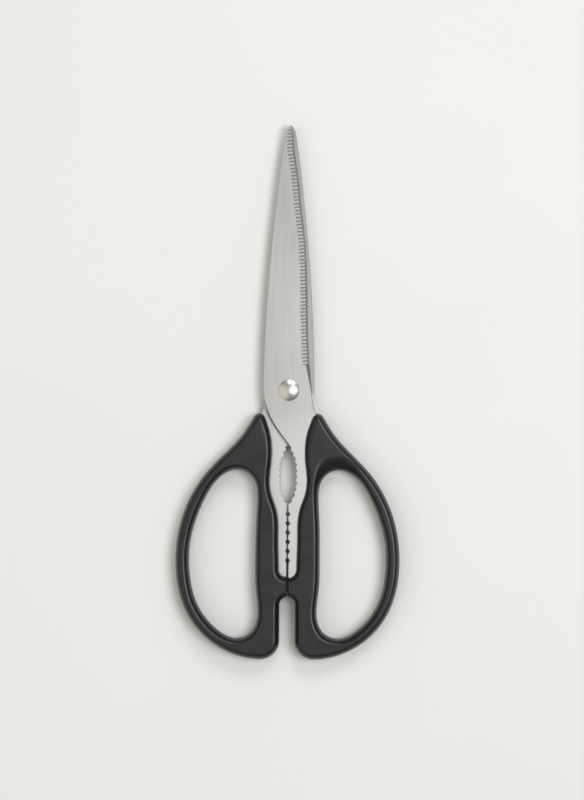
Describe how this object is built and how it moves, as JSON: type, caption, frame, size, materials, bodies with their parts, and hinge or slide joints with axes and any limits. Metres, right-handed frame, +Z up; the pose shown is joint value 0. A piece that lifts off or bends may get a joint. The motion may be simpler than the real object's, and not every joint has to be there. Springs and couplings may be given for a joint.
{
  "type": "poultry shears",
  "caption": "Long shears with one finely serrated blade, a toothed cracker opening and gripping notches between the tangs, and moulded oval finger loops.",
  "frame": {"origin": "centre of the pivot's flat back face, on the pivot axis, in the plane the closed shears lie on", "axes": "+Y from the pivot to the blade tips, +X to the right with the tips pointing away, +Z up along the pivot axis towards the domed head"},
  "size_m": [0.1008, 0.24, 0.011],
  "materials": {
    "blade_steel": "fine lengthwise brushing",
    "grip_plastic": "satin moulded, fine texture",
    "polished_steel": "mirror polished",
    "washer_bronze": "plain stamped",
    "fastener_steel": "turned"
  },
  "bodies": {
    "rear_half": {"rear_blade": "blade_steel", "rear_grip": "grip_plastic", "pivot_screw": "polished_steel", "friction_washer": "washer_bronze", "spring_washer": "fastener_steel", "pivot_nut": "fastener_steel"},
    "front_half": {"front_blade": "blade_steel", "front_grip": "grip_plastic"}
  },
  "joints": [
    {"name": "blade_pivot", "type": "hinge", "parent": "rear_half", "child": "front_half", "pos_m": [0, 0, 0.0055], "axis": [0, 0, 1], "range_deg": [0, 75]}
  ]
}
